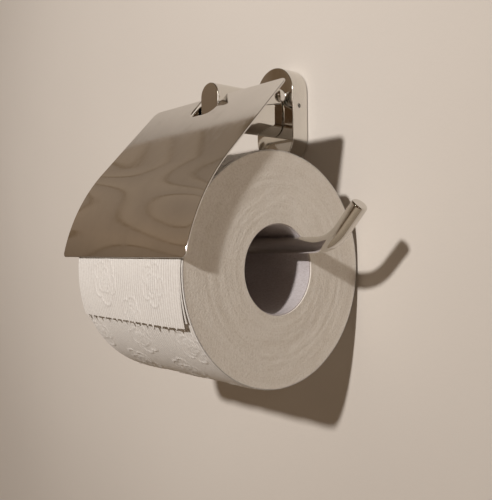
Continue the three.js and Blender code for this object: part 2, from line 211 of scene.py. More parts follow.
def tissue_material():
    """Creped tissue: fine ribs round the roll, rows of pressed dots and loose fibres, and the ribs'
    light and dark stripes painted into the colour as shade.
    """
    n = Nodes("tissue")
    uv = n.place("UV")
    split = n.node("ShaderNodeSeparateXYZ", Vector=uv)
    across, along = split.outputs[0], split.outputs[1]
    wobble = n.noise(uv, 0.35, 2, 0.5)
    ribs_at = n.math("ADD", n.math("MULTIPLY", across, TAU / 1.75), n.math("MULTIPLY", wobble, 3.0))
    ribs = n.math("SINE", ribs_at)
    dots = n.math("MULTIPLY", n.math("SINE", n.math("MULTIPLY", across, TAU / 1.05)),
                  n.math("SINE", n.math("MULTIPLY", along, TAU / 1.05)))
    band = n.noise(uv, 0.045, 1, 0.4)
    ribbed = n.math("MULTIPLY", ribs, n.range(band, 0.42, 0.58, 0.6, 1.0))
    fibres = n.noise(n.stretch(uv, 1.0, 0.45, 1), 1.7, 5, 0.68)
    crepe = n.noise(n.stretch(uv, 0.5, 1.0, 1), 0.9, 4, 0.6)
    normal = n.bump(ribbed, 0.00014, 0.8)
    normal = n.bump(dots, 0.00007, 0.5, normal)
    normal = n.bump(fibres, 0.00018, 0.5, normal)
    cloud = n.math("ADD", n.math("MULTIPLY", crepe, 0.6), n.math("MULTIPLY", fibres, 0.4))
    # Painted shade: the ribs' light and dark stripes, added to the colour on top of their bump.
    rib_painted_shade = n.range(ribbed, -1.0, 1.0, -0.17, 0.17)
    cloud = n.math("ADD", cloud, rib_painted_shade)
    shade = n.ramp(cloud, (0.28, (0.60, 0.56, 0.52)), (0.5, (0.685, 0.65, 0.61)),
                   (0.72, (0.74, 0.71, 0.675)))
    return n.set(Base_Color=shade, Roughness=0.95, Sheen_Weight=0.12, Sheen_Roughness=0.6,
                 Specular_IOR_Level=0.2, Normal=normal)


def tissue_end_material():
    """The cut ends of the roll: hundreds of thin layers, slightly crushed and dusty."""
    n = Nodes("tissue_end")
    uv = n.place("UV")
    at = n.place()
    layers = n.noise(n.stretch(uv, 2.6, 0.05, 1), 1.0, 3, 0.6)
    rings = n.noise(n.stretch(uv, 0.32, 0.02, 1), 1.0, 2, 0.5)
    crumbs = n.noise(at, 950, 5, 0.66)
    cloud = n.noise(at, 130, 4, 0.6)
    mixed = n.math("ADD", n.math("MULTIPLY", crumbs, 0.6), n.math("MULTIPLY", layers, 0.25))
    mixed = n.math("ADD", mixed, n.math("MULTIPLY", rings, 0.15))
    shade = n.ramp(mixed, (0.3, (0.65, 0.595, 0.525)), (0.5, (0.80, 0.755, 0.69)),
                   (0.7, (0.86, 0.825, 0.77)))
    tinted = n.node("ShaderNodeMixRGB", {"blend_type": "MULTIPLY"}, Fac=0.35, Color1=shade,
                    Color2=n.ramp(cloud, (0.3, (0.86, 0.83, 0.78)), (0.7, (1, 1, 1))))
    normal = n.bump(layers, 0.00012, 0.5)
    normal = n.bump(crumbs, 0.0004, 0.75, normal)
    return n.set(Base_Color=tinted.outputs[0], Roughness=0.97, Specular_IOR_Level=0.15,
                 Normal=normal)


def board_material():
    """Grey recycled board of the roll's core, wound from strips."""
    n = Nodes("core_board")
    at = n.place()
    fibres = n.noise(n.stretch(at, 0.35, 1, 1), 1500, 5, 0.7)
    specks = n.noise(at, 2400, 2, 0.5)
    base = n.ramp(fibres, (0.3, (0.44, 0.40, 0.40)), (0.55, (0.52, 0.48, 0.485)),
                  (0.75, (0.58, 0.545, 0.56)))
    tinted = n.node("ShaderNodeMixRGB", {"blend_type": "MULTIPLY"}, Fac=0.5, Color1=base,
                    Color2=n.ramp(specks, (0.28, (0.45, 0.4, 0.36)), (0.4, (1, 1, 1))))
    return n.set(Base_Color=tinted.outputs[0], Roughness=0.9, Specular_IOR_Level=0.2,
                 Normal=n.bump(fibres, 0.00006, 0.45))


chrome = chrome_material("chrome", (0.75, 0.725, 0.68), 0.02, 0.08)
lid_chrome = chrome_material("lid_chrome", (0.76, 0.74, 0.71), 0.016, 0.08)
steel = steel_material()
grey_nylon = nylon_material("grey_nylon", (0.33, 0.33, 0.32))
white_nylon = nylon_material("white_nylon", (0.78, 0.77, 0.73))
tissue = tissue_material()
tissue_end = tissue_end_material()
board = board_material()

# ---------------------------------------------------------------- mesh helpers


def new_object(name, mesh, *materials):
    obj = bpy.data.objects.new(name, mesh)
    scene.collection.objects.link(obj)
    for material in materials:
        mesh.materials.append(material)
    return obj


def mesh_of(bm, sharp=35):
    """A mesh from bm, in metres, smooth except where faces meet at more than `sharp` degrees."""
    bmesh.ops.remove_doubles(bm, verts=bm.verts, dist=1e-5)
    bmesh.ops.recalc_face_normals(bm, faces=bm.faces)
    bmesh.ops.scale(bm, vec=(MM, MM, MM), verts=bm.verts)
    mesh = bpy.data.meshes.new("mesh")
    bm.to_mesh(mesh)
    bm.free()
    mesh.polygons.foreach_set("use_smooth", [True] * len(mesh.polygons))
    mesh.set_sharp_from_angle(angle=math.radians(sharp))
    return mesh


def weigh_normals(obj):
    mod = obj.modifiers.new("weighted_normals", "WEIGHTED_NORMAL")
    mod.keep_sharp = True
    mod.weight = 80
    return obj


def dress(obj, body, slot, *replaced):
    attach(obj, body)
    if replaced:
        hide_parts(*replaced)
    return obj


def quads(rows, cols, wrap_rows=False, wrap_cols=False, start=0):
    """Quads of a grid of vertices numbered row by row from start."""
    r = np.arange(rows if wrap_rows else rows - 1)
    c = np.arange(cols if wrap_cols else cols - 1)
    r, c = (a.ravel() for a in np.meshgrid(r, c, indexing="ij"))
    r2, c2 = (r + 1) % rows, (c + 1) % cols
    return np.stack([r * cols + c, r * cols + c2, r2 * cols + c2, r2 * cols + c], 1) + start


def grid_mesh(points, faces, uvs=None, flip=False, sharp=60):
    """Mesh from points in mm and quads, with an optional place in mm on the surface as UV."""
    faces = faces[:, ::-1] if flip else faces
    mesh = bpy.data.meshes.new("mesh")
    mesh.from_pydata((points * MM).tolist(), [], faces.tolist())
    mesh.polygons.foreach_set("use_smooth", [True] * len(mesh.polygons))
    if uvs is not None:
        loops = np.empty(len(mesh.loops), int)
        mesh.loops.foreach_get("vertex_index", loops)
        layer = mesh.uv_layers.new(name="UVMap")
        layer.data.foreach_set("uv", uvs[loops].astype(np.float32).ravel())
    mesh.set_sharp_from_angle(angle=math.radians(sharp))
    return mesh


def extrude_outline(points, depth, bevel, place):
    """Closed outline of (a, b) points made `depth` thick, its rims rounded; place maps to mm."""
    bm = bmesh.new()
    face = bm.faces.new([bm.verts.new((a, b, 0)) for a, b in points])
    made = bmesh.ops.extrude_face_region(bm, geom=[face])
    top = [v for v in made["geom"] if isinstance(v, bmesh.types.BMVert)]
    bmesh.ops.translate(bm, vec=(0, 0, depth), verts=top)
    if bevel:
        rims = [e for e in bm.edges if abs(e.verts[0].co.z - e.verts[1].co.z) < 1e-6]
        bmesh.ops.bevel(bm, geom=rims, offset=bevel, offset_type="OFFSET", segments=4,
                        profile=0.5, affect="EDGES", clamp_overlap=True)
    place(bm)
    return bm


def slice_along(bm, axis, cuts):
    """Cuts bm's faces across an axis at each value, so that they can bend."""
    for value in cuts:
        centre, normal = Vector((0, 0, 0)), Vector((0, 0, 0))
        centre[axis], normal[axis] = value, 1
        geom = list(bm.verts) + list(bm.edges) + list(bm.faces)
        bmesh.ops.bisect_plane(bm, geom=geom, plane_co=centre, plane_no=normal)


def move_all(bm, rule):
    for v in bm.verts:
        v.co = rule(*v.co)


def arc(centre, radius, start, end, count):
    """Points on an arc, angles in degrees."""
    angles = [math.radians(start + (end - start) * i / count) for i in range(count + 1)]
    return [(centre[0] + radius * math.cos(a), centre[1] + radius * math.sin(a)) for a in angles]


def oblong(width, height, count=48):
    radius = width / 2
    rise = height / 2 - radius
    return arc((0, rise), radius, 0, 180, count) + arc((0, -rise), radius, 180, 360, count)


def turned(profile, segments=64):
    """Closed solid turned about X; profile is (x, radius) points, ends on the axis or closing."""
    closed = profile[0] == profile[-1]
    stations = profile[:-1] if closed else profile
    angles = np.arange(segments) * TAU / segments
    x = np.array([p[0] for p in stations])[:, None] + 0 * angles
    r = np.array([p[1] for p in stations])[:, None]
    points = np.stack([x, r * np.cos(angles), r * np.sin(angles)], -1).reshape(-1, 3)
    bm = bmesh.new()
    verts = [bm.verts.new(p) for p in points]
    for quad in quads(len(stations), segments, wrap_rows=closed, wrap_cols=True):
        bm.faces.new([verts[i] for i in quad])
    bmesh.ops.remove_doubles(bm, verts=bm.verts, dist=1e-5)
    return bm


def carve(obj, *cutters):
    """Cuts closed meshes out of obj and keeps the result as its mesh."""
    tools = []
    for bm in cutters:
        tool = new_object("cutter", mesh_of(bm))
        mod = obj.modifiers.new("cut", "BOOLEAN")
        mod.object, mod.solver, mod.operation = tool, "EXACT", "DIFFERENCE"
        tools.append(tool)
    bpy.context.view_layer.update()
    shown = obj.evaluated_get(bpy.context.evaluated_depsgraph_get())
    mesh = bpy.data.meshes.new_from_object(shown)
    obj.modifiers.clear()
    obj.data = mesh
    for tool in tools:
        bpy.data.objects.remove(tool)
    mesh.polygons.foreach_set("use_smooth", [True] * len(mesh.polygons))
    mesh.set_sharp_from_angle(angle=math.radians(35))
    return obj


def bore(radius, start, end, place, chamfer=0.35):
    """Cutter for a round hole along X from start to end, flared at the start; place moves it."""
    bm = turned([(start, 0), (start, radius + 3 * chamfer), (start + 2 * chamfer, radius + chamfer),
                 (start + 3 * chamfer, radius), (end, radius), (end, 0)], 48)
    move_all(bm, place)
    return bm


# ---------------------------------------------------------------- lid and its bracket


def lid_place(x, s, under):
    """Point across x, s along from the rear edge and `under` below the lid's outer face."""
    turn = max(0.0, s - LID_STRAIGHT) / LID_CURVE_RADIUS
    flat = min(s, LID_STRAIGHT)
    slope = LID_REAR_SLOPE + turn
    dy = math.sin(slope) - math.sin(LID_REAR_SLOPE)
    dz = math.cos(LID_REAR_SLOPE) - math.cos(slope)
    y = LID_REAR_Y - flat * math.cos(LID_REAR_SLOPE) - LID_CURVE_RADIUS * dy
    z = LID_REAR_Z - flat * math.sin(LID_REAR_SLOPE) - LID_CURVE_RADIUS * dz
    return Vector((x, y + under * math.sin(slope), z - under * math.cos(slope)))


def lid_outline():
    x, front, rear = LID_WIDTH / 2, LID_FRONT_CORNER, LID_REAR_CORNER
    w, d, c = NOTCH_HALF_WIDTH, NOTCH_DEPTH, NOTCH_CORNER
    points = arc((x - rear, rear), rear, -90, 0, 10)
    points += arc((x - front, LID_LENGTH - front), front, 0, 90, 10)
    points += arc((-x + front, LID_LENGTH - front), front, 90, 180, 10)
    points += arc((-x + rear, rear), rear, 180, 270, 10)
    points += [(-w, 0)] + arc((-w + c, d - c), c, 180, 90, 6) + arc((w - c, d - c), c, 90, 0, 6)
    return points + [(w, 0)]


def bent_plate(outline, outer, inner, bevel):
    """Sheet cut to an outline of (x, s) and bent to the lid's curve between two depths."""

    def bend(bm):
        slice_along(bm, 1, np.arange(LID_STRAIGHT - 4, LID_LENGTH, 1.5))
        slice_along(bm, 0, np.arange(-50, 51, 10))
        move_all(bm, lambda x, s, u: lid_place(x, s, outer + u))

    return extrude_outline(outline, inner - outer, bevel, bend)


lid = new_object("lid_cover", mesh_of(bent_plate(lid_outline(), 0, LID_SHEET, 0.28)), lid_chrome)
dress(weigh_normals(lid), "lid", "polished_chrome", "lid")


def ear_outline():
    outer = LID_SHEET + BRACKET_GAP
    low, front = lid_place(0, BRACKET_END, outer + 2.6), lid_place(0, BRACKET_END, outer)
    rear = lid_place(0, 5, outer)
    points = [(low.y, low.z), (front.y, front.z)]
    steps = 10
    for i in range(steps + 1):
        t = i / steps
        side, mid, end = (1 - t) ** 2, 2 * t * (1 - t), t * t
        points.append((
            side * rear.y + mid * (rear.y + 2.6) + end * (rear.y + 7),
            side * rear.z + mid * (rear.z + 2.2) + end * (rear.z + 3)))
    points += arc((HINGE_Y, HINGE_Z), EAR_RADIUS, math.degrees(1.8), -90, 40)
    return points + [(EAR_KNEE_Y, EAR_KNEE_Z)]


def on_hinge(bm):
    move_all(bm, lambda x, y, z: Vector((x, y + HINGE_Y, z + HINGE_Z)))
    return bm


def pin_hole(reach, segments):
    """Cutter for the hinge pin's hole, `reach` to both sides of the middle."""
    profile = [(-reach, 0), (-reach, PIN_HOLE_RADIUS), (reach, PIN_HOLE_RADIUS), (reach, 0)]
    return on_hinge(turned(profile, segments))


def bracket():
    """Plate under the lid with two ears, each drilled for the hinge pin."""
    outline = [(-EAR_OUTER_X, BRACKET_START), (EAR_OUTER_X, BRACKET_START),
               (EAR_OUTER_X, BRACKET_END), (-EAR_OUTER_X, BRACKET_END)]
    outer = LID_SHEET + BRACKET_GAP
    base = mesh_of(bent_plate(outline, outer, outer + BRACKET_SHEET, 0.2))
    whole = bmesh.new()
    whole.from_mesh(base)
    bmesh.ops.scale(whole, vec=(1 / MM, 1 / MM, 1 / MM), verts=whole.verts)
    thick = EAR_OUTER_X - EAR_INNER_X
    for left in (-EAR_OUTER_X, EAR_INNER_X):
        ear = extrude_outline(ear_outline(), thick, 0.22, lambda bm, x=left: move_all(
            bm, lambda y, z, depth: Vector((x + depth, y, z))))
        drilled = carve(new_object("ear", mesh_of(ear)), pin_hole(PIN_HOLE_REACH, 48))
        drilled.data.transform(Matrix.Scale(1 / MM, 4))
        whole.from_mesh(drilled.data)
        bpy.data.objects.remove(drilled)
    return whole


lid_bracket = new_object("lid_bracket_plates", mesh_of(bracket()), chrome)
dress(weigh_normals(lid_bracket), "lid", "polished_chrome", "lid_bracket")


def domed_head(inner):
    """Half profile of the pin's head from its inner face at x = inner outwards."""
    rim = PIN_HEAD_RADIUS
    return [(inner, rim - 0.15), (inner + 0.15, rim), (inner + 0.9, rim), (inner + 1.15, rim - 0.1),
            (inner + 1.5, rim - 0.5), (inner + 1.85, rim - 1.2), (inner + 2.1, rim - 2.2),
            (inner + 2.2, 0)]


pin_profile = [(-HEAD_INNER_X - 0.6, 0), (-HEAD_INNER_X - 0.6, PIN_RADIUS),
               (HEAD_INNER_X, PIN_RADIUS)] + domed_head(HEAD_INNER_X)
pin = new_object("hinge_pin_turned", mesh_of(on_hinge(turned(pin_profile)), 50), chrome)
dress(weigh_normals(pin), "holder", "polished_chrome", "hinge_pin")

cap_bm = turned([(HEAD_INNER_X + 0.9, 0), (HEAD_INNER_X + 0.9, PIN_RADIUS + 0.3),
                 (HEAD_INNER_X, PIN_RADIUS + 0.3)] + domed_head(HEAD_INNER_X))
move_all(cap_bm, lambda x, y, z: Vector((-x, y, z)))
cap = new_object("hinge_cap_turned", mesh_of(on_hinge(cap_bm), 50), chrome)
dress(weigh_normals(cap), "holder", "polished_chrome", "hinge_cap")

# ---------------------------------------------------------------- plate and post


def prism_along_y(outline, back, front, bevel):
    def place(bm):
        move_all(bm, lambda x, z, depth: Vector((x, back - depth, z)))

    return extrude_outline(outline, back - front, bevel, place)


def wall_plate():
    shell = new_object(
        "wall_plate_shell",
        mesh_of(prism_along_y(oblong(PLATE_WIDTH, PLATE_HEIGHT), 0, -PLATE_DEPTH, 0.55)), chrome)
    hollow = oblong(PLATE_WIDTH - 2 * PLATE_WALL, PLATE_HEIGHT - 2 * PLATE_WALL)
    inside = prism_along_y(hollow, 1, -PLATE_DEPTH + PLATE_WALL, 0)
    screw = bore(3.3, -PLATE_DEPTH - 1, -PLATE_DEPTH + 3, lambda x, y, z: Vector((y, x, z)), 0.01)
    grub = turned([(12.4, 0), (12.4, 1.25), (16, 1.25), (16, 0)], 40)
    move_all(grub, lambda x, y, z: Vector((x, y + GRUB_Y, z + GRUB_Z)))
    return carve(shell, inside, screw, grub)


def post():
    bar = new_object("post_bar", mesh_of(
        prism_along_y(oblong(POST_WIDTH, POST_HEIGHT), POST_BACK, POST_FRONT, 0.7)), chrome)
    rod = bore(ROD_BORE_RADIUS, -POST_WIDTH / 2 - 0.9, 3.4,
               lambda x, y, z: Vector((x, y + ARM_Y, z + ARM_TOP_Z)))
    grub = bore(2.2, -13.1, -7, lambda x, y, z: Vector((y, z + ARM_Y, x)), 0.2)
    return carve(bar, rod, grub, pin_hole(10, 40))


dress(weigh_normals(wall_plate()), "holder", "polished_chrome", "wall_plate")
dress(weigh_normals(post()), "holder", "polished_chrome", "post")

# ---------------------------------------------------------------- roll arm


def arm_path():
    """Points and unit tangents of the rod's axis in X and Z."""
    r, lean = ARM_BEND_RADIUS, math.degrees(TIP_ANGLE)
    points = [(ARM_ROOT_X, ARM_TOP_Z)]
    points += arc((ARM_LEG_X + r, ARM_TOP_Z - r), r, 90, 180, 24)
    points += arc((ARM_LEG_X + r, ARM_LOW_Z + r), r, 180, 270, 24)
    points += [(x, ARM_LOW_Z) for x in np.linspace(ARM_LEG_X + r, TIP_START_X, 12)[1:-1]]
    points += arc((TIP_START_X, ARM_LOW_Z + TIP_BEND_RADIUS), TIP_BEND_RADIUS, 270, 270 + lean, 28)
    end = (points[-1][0] + TIP_STRAIGHT * math.cos(TIP_ANGLE),
           points[-1][1] + TIP_STRAIGHT * math.sin(TIP_ANGLE))
    points = np.array(points + [end])
    tangents = np.gradient(points, axis=0)
    tangents[0], tangents[-1] = (-1, 0), (math.cos(TIP_ANGLE), math.sin(TIP_ANGLE))
    return points, tangents / np.linalg.norm(tangents, axis=1)[:, None]


def roll_arm(segments=72, edge=1.1):
    points, tangents = arm_path()
    rows = [(points[0] + tangents[0] * (edge * (1 - math.cos(b))), tangents[0],
             ROD_RADIUS - edge * (1 - math.sin(b))) for b in np.linspace(0, math.pi / 2, 6)]
    rows += [(points[i], tangents[i], ROD_RADIUS) for i in range(1, len(points) - 1)]
    rows += [(points[-1] - tangents[-1] * (edge * (1 - math.cos(b))), tangents[-1],
              ROD_RADIUS - edge * (1 - math.sin(b))) for b in np.linspace(math.pi / 2, 0, 6)]
    angles = np.arange(segments) * TAU / segments
    verts = []
    for (x, z), (tx, tz), radius in rows:
        side, deep = radius * np.cos(angles), radius * np.sin(angles)
        verts.append(np.stack([x - tz * side, ARM_Y + deep, z + tx * side], 1))
    bm = bmesh.new()
    made = [bm.verts.new(p) for p in np.concatenate(verts)]
    for quad in quads(len(rows), segments, wrap_cols=True):
        bm.faces.new([made[i] for i in quad])
    bm.faces.new(made[:segments])
    bm.faces.new(made[-segments:])
    return bm


arm = new_object("roll_arm_rod", mesh_of(roll_arm(), 50), chrome)
dress(weigh_normals(arm), "holder", "polished_chrome", "roll_arm")

# ---------------------------------------------------------------- paper

rng = np.random.default_rng(7)
EMBOSS = 0.42
WRAP_SINK = 0.1  # keeps the wrap's uneven surface within ROLL_RADIUS
# Share of the pattern's height lost under the lid, and the angles in degrees where it sets in.
LID_PRESS, LID_PRESS_START, LID_PRESS_SPAN = 0.78, 3, 8


def rose(dx, dy, turn):
    """Pressed rose: a scalloped outline, inner petals and a spiral heart; 1 on the lines."""
    radius = np.hypot(dx, dy * 0.88)
    angle = np.arctan2(dy, dx) + turn
    petals = 7.0 + 2.9 * np.abs(np.cos(2.5 * angle)) ** 0.6
    inner = 5.0 + 0.9 * np.cos(3 * angle + 1.2)
    heart = radius - 1.7 * ((angle / TAU) % 1.0)
    spiral = np.abs((heart % 1.7) - 0.85)
    line = np.exp(-(((radius - petals) / 0.55) ** 2))
    line = np.maximum(line, 0.75 * np.exp(-(((radius - inner) / 0.5) ** 2)))
    curl = np.exp(-(((spiral - 0.4) / 0.34) ** 2)) * (radius < 3.9)
    return np.maximum(line, 0.9 * curl)


def embossing(x, along, roses):
    """Height of the roses, each (x, along, size, turn), at x across and `along` round the roll."""
    height = np.zeros_like(x)
    for cx, cy, size, turn in roses:
        near = np.abs(along[:, 0] - cy) < 13
        if near.any():
            dx, dy = (x[near] - cx) / size, (along[near] - cy) / size
            height[near] = np.maximum(height[near], rose(dx, dy, turn))
    return height * EMBOSS


def rose_rows(shift_x, shift_along, rows, pitch=40.0, row=21.5):
    """Staggered rows of roses across the roll's whole width."""
    return [(shift_x + (k % 2) * pitch / 2 + j * pitch, shift_along + k * row, 0.95,
             0.7 * k + 1.9 * j) for k in rows for j in range(-3, 4)]


def on_roll(x, angle, radius):
    """Point at x across, at an angle in degrees up from the front, and a radius from the axis."""
    a = np.radians(angle)
    return np.stack([x, ROLL_Y - radius * np.cos(a), ROLL_Z + radius * np.sin(a)], -1)


def smooth_noise(count, waves, seed):
    """Periodic sum of sines with mean 0 and a size of about 1."""
    source = np.random.default_rng(seed)
    t = np.arange(count) * TAU / count
    total = np.zeros(count)
    for k in range(1, waves + 1):
        total += source.normal() * np.sin(k * t + source.uniform(0, TAU)) / math.sqrt(k)
    return total / max(1e-9, np.abs(total).max())


def paper_wrap(rows=700, cols=132):
    """Outermost turns of the roll, embossed, as a thin closed shell."""
    angles = np.arange(rows) * 360 / rows
    half = ROLL_WIDTH / 2
    xs = np.linspace(-half, half, cols)
    grid_a, grid_x = np.meshgrid(angles, xs, indexing="ij")
    signed = (grid_a + 180) % 360 - 180
    along = np.radians(signed) * ROLL_RADIUS
    order = np.argsort(along[:, 0])
    lift = np.zeros_like(along)
    roses = rose_rows(-38, -35, range(-7, 11))
    lift[order] = embossing((grid_x + ROLL_X)[order], along[order], roses)
    edge = np.clip((half - np.abs(grid_x)) / 1.5, 0, 1)
    sag = 0.10 * smooth_noise(rows, 9, 3)[:, None]
    radius = ROLL_RADIUS - EMBOSS - WRAP_SINK + lift * edge + sag - 0.12 * (1 - edge) ** 2
    outer = on_roll(grid_x + ROLL_X, grid_a, radius)
    inner = on_roll(grid_x[:, [0, -1]] + ROLL_X, grid_a[:, [0, -1]],
                    np.full((rows, 2), ROLL_RADIUS - 1.1))
    points = np.concatenate([outer.reshape(-1, 3), inner.reshape(-1, 3)])
    base = rows * cols
    r = np.arange(rows)
    r2 = (r + 1) % rows
    left = np.stack([r * cols, r2 * cols, base + r2 * 2, base + r * 2], 1)
    right_side = np.stack([r2 * cols + cols - 1, r * cols + cols - 1,
                           base + r * 2 + 1, base + r2 * 2 + 1], 1)
    under = np.stack([base + r * 2, base + r2 * 2, base + r2 * 2 + 1, base + r * 2 + 1], 1)
    faces = np.concatenate([quads(rows, cols, wrap_rows=True), left, right_side, under])
    uvs = np.concatenate([np.stack([grid_x, grid_a / 360 * TAU * ROLL_RADIUS], -1).reshape(-1, 2),
                          np.zeros((rows * 2, 2))])
    return grid_mesh(points, faces, uvs)


def paper_body(segments=540, rings=44):
    """The wound layers: both cut ends with their uneven rings, and the bore."""
    outer, half = ROLL_RADIUS - 0.9, ROLL_WIDTH / 2
    radii = np.linspace(PAPER_INNER_RADIUS, outer, rings)
    angles = np.arange(segments) * 360 / segments
    waves = smooth_noise(segments, 14, 5)
    rows, uvs = [], []
    for side in (1, -1):
        steps = rng.normal(0, 0.10, rings)
        steps = np.convolve(steps, [0.25, 0.5, 0.25], "same")
        ring_list = radii if side > 0 else radii[::-1]
        for k, radius in enumerate(ring_list):
            share = (radius - PAPER_INNER_RADIUS) / (outer - PAPER_INNER_RADIUS)
            drift = 0.16 * np.roll(waves, int(k * 5)) * math.sin(math.pi * share)
            x = half - 0.12 + steps[k] * 0.8 + drift * 0.6
            # The last two rings listed stay flat: outermost on the right, innermost on the left.
            if k < rings - 2:
                x = np.minimum(x, half - 0.02)
            else:
                x = np.full(segments, half - 0.03)
            rows.append(on_roll(ROLL_X + side * x, angles, np.full(segments, radius)))
            uvs.append(np.stack([np.full(segments, radius), angles / 360 * 200], -1))
    points = np.concatenate(rows)
    faces = quads(2 * rings, segments, wrap_rows=True, wrap_cols=True)
    return grid_mesh(points, faces, np.concatenate(uvs), sharp=50)


def torn_edge(xs):
    """How far the torn edge hangs below its line at each x: a clean tear with a few short tabs."""
    ragged = 0.06 * np.sin(xs * 2.1) + 0.04 * np.sin(xs * 5.3 + 1) + rng.normal(0, 0.02, len(xs))
    x = xs[0] + 2.5
    while x < xs[-1] - 4:
        width, length = rng.uniform(0.4, 0.65), rng.uniform(0.8, 1.9)
        ragged += length * np.exp(-(((xs - x) / width) ** 4))
        x += rng.uniform(4.5, 7.5)
    return ragged


def loose_ply(x_left, x_right, start, end, tuck, gap, thickness, rows=190, cols=220):
    """One ply of the loose end. tuck is its clearance at the top and gap at the torn edge."""
    xs = np.linspace(x_left, x_right, cols)
    share = np.linspace(0, 1, rows)
    tabs = torn_edge(xs)
    share_g, x_g = np.meshgrid(share, xs, indexing="ij")
    angle = start + (end - start) * share_g
    low = np.clip((share_g - 0.9) / 0.1, 0, 1)
    angle = angle - np.degrees(low * tabs[None, :] / ROLL_RADIUS)
    drop = np.clip(angle / SHEET_END, 0, 1.1)
    across = (x_g - x_left) / (x_right - x_left)
    lift = tuck + (gap - tuck) * drop ** 2 * (0.35 + 0.65 * across ** 0.8)
    curl = 0.5 * np.clip((across - 0.9) / 0.1, 0, 1) ** 2 * np.clip(drop, 0, 1)
    along = np.radians(angle) * ROLL_RADIUS
    flip = np.argsort(along[:, 0])
    press = np.zeros_like(along)
    roses = [(-14, -5, 1.05, 0.2), (28.6, -5, 0.9, 1.4), (7.7, -20.5, 0.85, 2.6)]
    roses += rose_rows(-14, 17, range(0, 4))
    press[flip] = embossing(x_g[flip], along[flip], roses)
    # The pattern is pressed nearly flat where the lid lies close over the paper.
    press *= 1 - LID_PRESS * np.clip((angle - LID_PRESS_START) / LID_PRESS_SPAN, 0, 1)
    radius = ROLL_RADIUS + lift - np.minimum(curl * 0.5, 0.6 * (lift - tuck))
    bulge = 0.12 * np.sin(x_g * 0.11 + angle * 0.07) * np.clip(drop, 0, 1) ** 2
    inner = on_roll(x_g, angle, radius + bulge + press * 0.9)
    outer = on_roll(x_g, angle, radius + bulge + press * 0.9 + thickness)
    points = np.concatenate([outer.reshape(-1, 3), inner.reshape(-1, 3)])
    count = rows * cols
    top, bottom = quads(rows, cols), quads(rows, cols, start=count)[:, ::-1]
    i = np.arange(cols - 1)
    r = np.arange(rows - 1)
    far = (rows - 1) * cols
    sides = [
        np.stack([i + 1, i, i + count, i + 1 + count], 1),
        np.stack([far + i, far + i + 1, far + i + 1 + count, far + i + count], 1),
        np.stack([r * cols, (r + 1) * cols, (r + 1) * cols + count, r * cols + count], 1),
        np.stack([(r + 1) * cols + cols - 1, r * cols + cols - 1,
                  r * cols + cols - 1 + count, (r + 1) * cols + cols - 1 + count], 1),
    ]
    faces = np.concatenate([top, bottom, *sides])
    flat = np.stack([x_g, along], -1).reshape(-1, 2)
    return grid_mesh(points, faces, np.concatenate([flat, flat]), flip=True)


def roll_core(segments=200, cols=96):
    """Board tube with the step where its wound strips meet, and rubbed ends."""
    half = ROLL_WIDTH / 2 - 0.8
    xs = np.linspace(-half, half, cols)
    angles = np.arange(segments) * 360 / segments
    x_g, a_g = np.meshgrid(xs, angles, indexing="ij")
    turn = (a_g / 360 + x_g / 88) % 1
    away = np.minimum(turn, 1 - turn) * TAU * CORE_BORE_RADIUS
    groove = 0.22 * np.exp(-((away / 0.7) ** 2))
    rub = 0.25 * np.clip((np.abs(x_g) - half + 1.2) / 1.2, 0, 1) ** 2
    inner = on_roll(x_g + ROLL_X, a_g, CORE_BORE_RADIUS + groove + rub)
    outer = on_roll(x_g + ROLL_X, a_g, CORE_RADIUS - rub * 0.3)
    points = np.concatenate([inner.reshape(-1, 3), outer[::-1].reshape(-1, 3)])
    faces = quads(2 * cols, segments, wrap_rows=True, wrap_cols=True)
    return grid_mesh(points, faces, sharp=50)


def outward(obj):
    """Turns the faces of a closed mesh outwards."""
    bm = bmesh.new()
    bm.from_mesh(obj.data)
    bmesh.ops.recalc_face_normals(bm, faces=bm.faces)
    bm.to_mesh(obj.data)
    bm.free()
    return obj


wrap = outward(new_object("paper_wrap", paper_wrap(), tissue))
dress(wrap, "roll", "toilet_paper")
body = outward(new_object("paper_body", paper_body(), tissue_end))
dress(body, "roll", "toilet_paper", "paper_roll")
core = outward(new_object("core_tube", roll_core(), board))
dress(core, "roll", "core_board", "roll_core")

left_edge, right_edge = ROLL_X - SHEET_WIDTH / 2, ROLL_X + SHEET_WIDTH / 2
top_ply = outward(new_object("sheet_top_ply", loose_ply(
    left_edge, right_edge - 0.8, SHEET_TOP, SHEET_END, SHEET_TOP_CLEARANCE - 0.08,
    SHEET_END_CLEARANCE + 0.5, 0.12), tissue))
dress(top_ply, "holder", "toilet_paper", "loose_sheet")
under_ply = outward(new_object("sheet_under_ply", loose_ply(
    left_edge + 0.3, right_edge, SHEET_TOP, SHEET_END + 1.6, SHEET_TOP_CLEARANCE - 0.22,
    SHEET_END_CLEARANCE - 1.0, 0.1), tissue))
dress(under_ply, "holder", "toilet_paper")

# ---------------------------------------------------------------- CAD nodes that stay


def repaint(material, *names):
    for name in names:
        mesh = nodes[name].data
        mesh.materials.clear()
        mesh.materials.append(material)
        for polygon in mesh.polygons:
            polygon.material_index = 0


repaint(steel, "wall_bracket", "wall_screw_upper", "wall_screw_lower", "plate_grub_screw",
        "arm_grub_screw", "post_screw", "post_washer")
repaint(grey_nylon, "wall_plug_upper", "wall_plug_lower")
repaint(white_nylon, "hinge_washer_left", "hinge_washer_right")

# ---------------------------------------------------------------- stage


def stage_plane(name, corners, material):
    mesh = bpy.data.meshes.new(name)
    mesh.from_pydata(corners, [], [tuple(range(len(corners)))])
    obj = new_object(name, mesh, material)
    return obj


